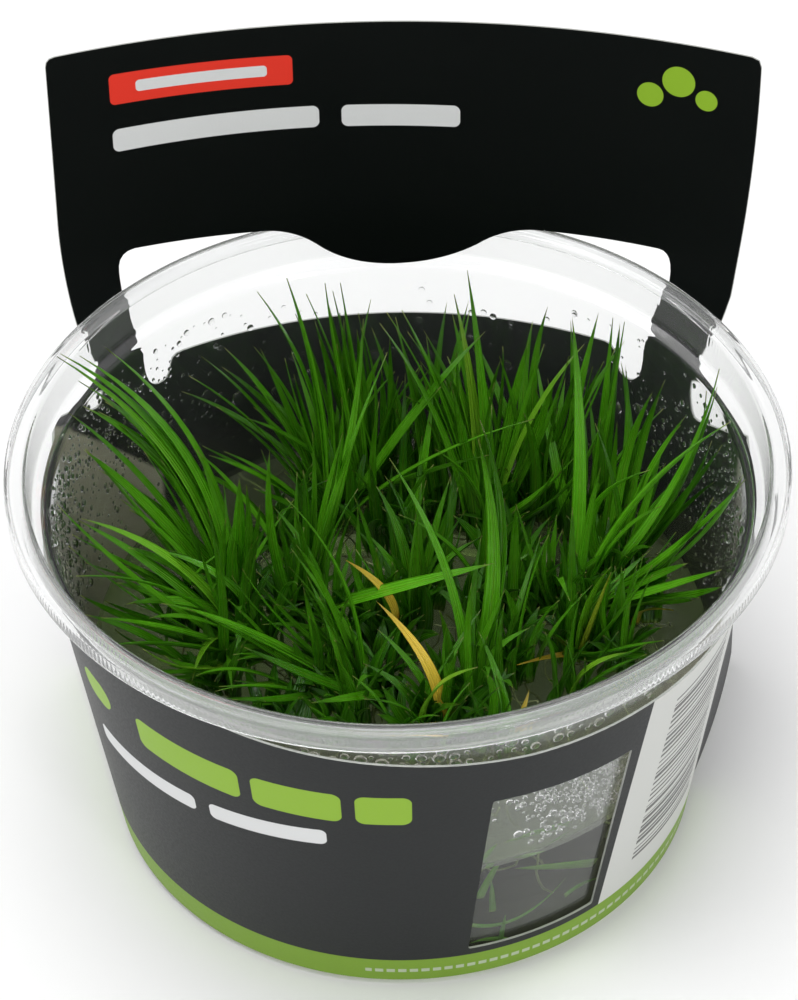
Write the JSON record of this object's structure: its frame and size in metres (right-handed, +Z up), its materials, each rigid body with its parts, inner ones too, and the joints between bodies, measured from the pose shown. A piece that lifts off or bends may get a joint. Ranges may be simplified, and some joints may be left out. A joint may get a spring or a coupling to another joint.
{
  "type": "tissue culture aquarium plant in a cup",
  "caption": "Grassy rosette aquarium plants rooted in gel in a clear tapered cup, with a folded card sleeve whose header stands behind the rim.",
  "frame": {"origin": "centre of the cup's flat underside", "axes": "+Z up along the cup's axis, -Y towards the front of the band, the header stands on the +Y side"},
  "size_m": [0.1, 0.1, 0.0904],
  "materials": {
    "clear_plastic": "clear thin polypropylene, glossy, with condensation droplets inside",
    "culture_gel": "set culture gel, faintly cloudy, wet surface",
    "printed_card": "black printed card, satin, with a green foot stripe, pale and coloured blocks and a pale cut edge",
    "leaf": "green grassy leaf, satin, finely veined along its length, a few dead ones yellow"
  },
  "bodies": {
    "root": {"cup": "clear_plastic", "gel": "culture_gel", "card_sleeve": "printed_card", "tuft_left": "leaf", "tuft_back_left": "leaf", "tuft_back_right": "leaf", "tuft_middle": "leaf", "tuft_right": "leaf", "tuft_front_left": "leaf", "tuft_front": "leaf"}
  },
  "joints": []
}
